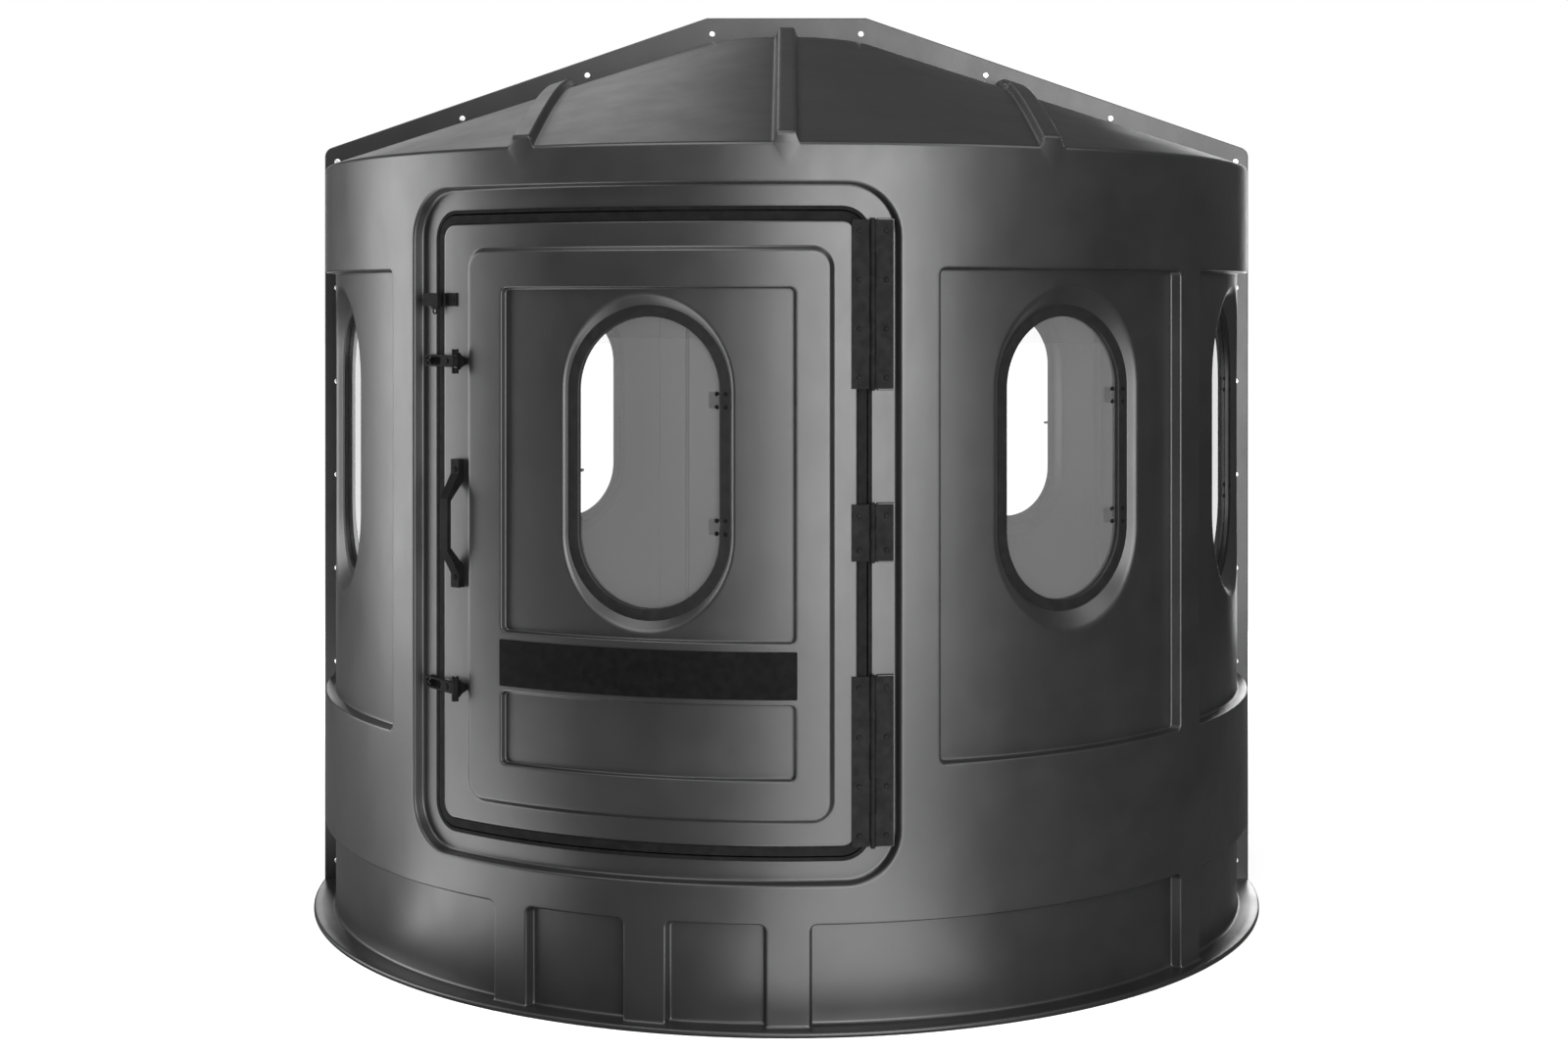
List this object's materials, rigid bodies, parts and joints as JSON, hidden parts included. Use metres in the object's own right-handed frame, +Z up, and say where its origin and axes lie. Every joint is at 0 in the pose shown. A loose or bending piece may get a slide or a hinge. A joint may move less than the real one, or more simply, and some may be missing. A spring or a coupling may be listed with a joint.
{
  "type": "layout field blind",
  "caption": "Round moulded cabin blind of bolted halves with a cone roof, hinged windowed door, stadium windows that swing inward, rubber T latches, hasp and pull handle.",
  "frame": {"origin": "centre of the base, on the plane it stands on", "axes": "+Z up; -Y towards the door side; +X to the right seen from the door side, along the joining flange"},
  "size_m": [2.079, 2.079, 1.945],
  "materials": {
    "shell": "satin moulded polyethylene, black",
    "door": "satin moulded polyethylene, black",
    "floor": "matte board, black",
    "rubber": "matte black rubber",
    "hinge_steel": "black powder coat",
    "hardware": "black coated steel",
    "handle": "black nylon",
    "bright_steel": "zinc plated",
    "glazing": "lightly tinted pane",
    "strip": "bare black strip"
  },
  "bodies": {
    "root": {"front_shell": "shell", "rear_shell": "shell", "front_floor": "floor", "rear_floor": "floor", "flange_bolts": "bright_steel", "flange_nuts": "bright_steel", "door_trim": "rubber", "hinge_bolts_frame": "hinge_steel", "hasp_staple": "hardware", "hinge_frame_leaf_upper": "hinge_steel", "hinge_pin_upper": "hinge_steel", "hinge_frame_leaf_middle": "hinge_steel", "hinge_pin_middle": "hinge_steel", "hinge_frame_leaf_lower": "hinge_steel", "hinge_pin_lower": "hinge_steel", "latch_post_upper": "hardware", "latch_post_lower": "hardware", "window_gasket_left": "rubber", "window_hinge_left": "hardware", "window_gasket_right": "rubber", "window_hinge_right": "hardware", "window_gasket_side": "rubber", "window_hinge_side": "hardware", "window_gasket_rear_right": "rubber", "window_hinge_rear_right": "hardware", "window_gasket_rear_left": "rubber", "window_hinge_rear_left": "hardware"},
    "door": {"door_panel": "door", "door_seal": "rubber", "label_strip": "strip", "hinge_bolts_door": "hinge_steel", "handle": "handle", "door_screws": "hardware", "latch_pins": "hardware", "hasp_leaf": "hardware", "hasp_pin": "hardware", "hinge_door_leaf_upper": "hinge_steel", "hinge_door_leaf_middle": "hinge_steel", "hinge_door_leaf_lower": "hinge_steel", "latch_base_upper": "hardware", "latch_base_lower": "hardware", "window_gasket_door": "rubber", "window_hinge_door": "hardware"},
    "latch_upper": {"latch_strap_upper": "rubber"},
    "latch_lower": {"latch_strap_lower": "rubber"},
    "hasp": {"hasp_plate": "hardware", "hasp_eye": "hardware"},
    "pane_left": {"window_pane_left": "glazing", "window_fittings_left": "hardware"},
    "pane_right": {"window_pane_right": "glazing", "window_fittings_right": "hardware"},
    "pane_side": {"window_pane_side": "glazing", "window_fittings_side": "hardware"},
    "pane_rear_right": {"window_pane_rear_right": "glazing", "window_fittings_rear_right": "hardware"},
    "pane_rear_left": {"window_pane_rear_left": "glazing", "window_fittings_rear_left": "hardware"},
    "pane_door": {"window_pane_door": "glazing", "window_fittings_door": "hardware"}
  },
  "joints": [
    {"name": "door_swing", "type": "hinge", "parent": "root", "child": "door", "pos_m": [0.15518, -0.99092, 0.9], "axis": [0, 0, 1], "range_deg": [0, 120]},
    {"name": "latch_upper_swing", "type": "hinge", "parent": "door", "child": "latch_upper", "pos_m": [-0.62195, -0.81348, 1.196], "axis": [0, 0, 1], "range_deg": [0, 150]},
    {"name": "latch_lower_swing", "type": "hinge", "parent": "door", "child": "latch_lower", "pos_m": [-0.62195, -0.81348, 0.581], "axis": [0, 0, 1], "range_deg": [0, 150]},
    {"name": "hasp_swing", "type": "hinge", "parent": "door", "child": "hasp", "pos_m": [-0.6497, -0.7661, 1.312], "axis": [0, 0, 1], "range_deg": [0, 120]},
    {"name": "window_left_swing", "type": "hinge", "parent": "root", "child": "pane_left", "pos_m": [-0.84791, -0.44858, 1.015], "axis": [0, 0, -1], "range_deg": [0, 100]},
    {"name": "window_right_swing", "type": "hinge", "parent": "root", "child": "pane_right", "pos_m": [0.62656, -0.72637, 1.015], "axis": [0, 0, -1], "range_deg": [0, 100]},
    {"name": "window_side_swing", "type": "hinge", "parent": "root", "child": "pane_side", "pos_m": [0.93994, -0.19156, 1.015], "axis": [0, 0, -1], "range_deg": [0, 100]},
    {"name": "window_rear_right_swing", "type": "hinge", "parent": "root", "child": "pane_rear_right", "pos_m": [0.44767, 0.84839, 1.015], "axis": [0, 0, -1], "range_deg": [0, 100]},
    {"name": "window_rear_left_swing", "type": "hinge", "parent": "root", "child": "pane_rear_left", "pos_m": [-0.66853, 0.68793, 1.015], "axis": [0, 0, -1], "range_deg": [0, 100]},
    {"name": "window_door_swing", "type": "hinge", "parent": "door", "child": "pane_door", "pos_m": [-0.11481, -0.96234, 1.015], "axis": [0, 0, -1], "range_deg": [0, 100]}
  ]
}
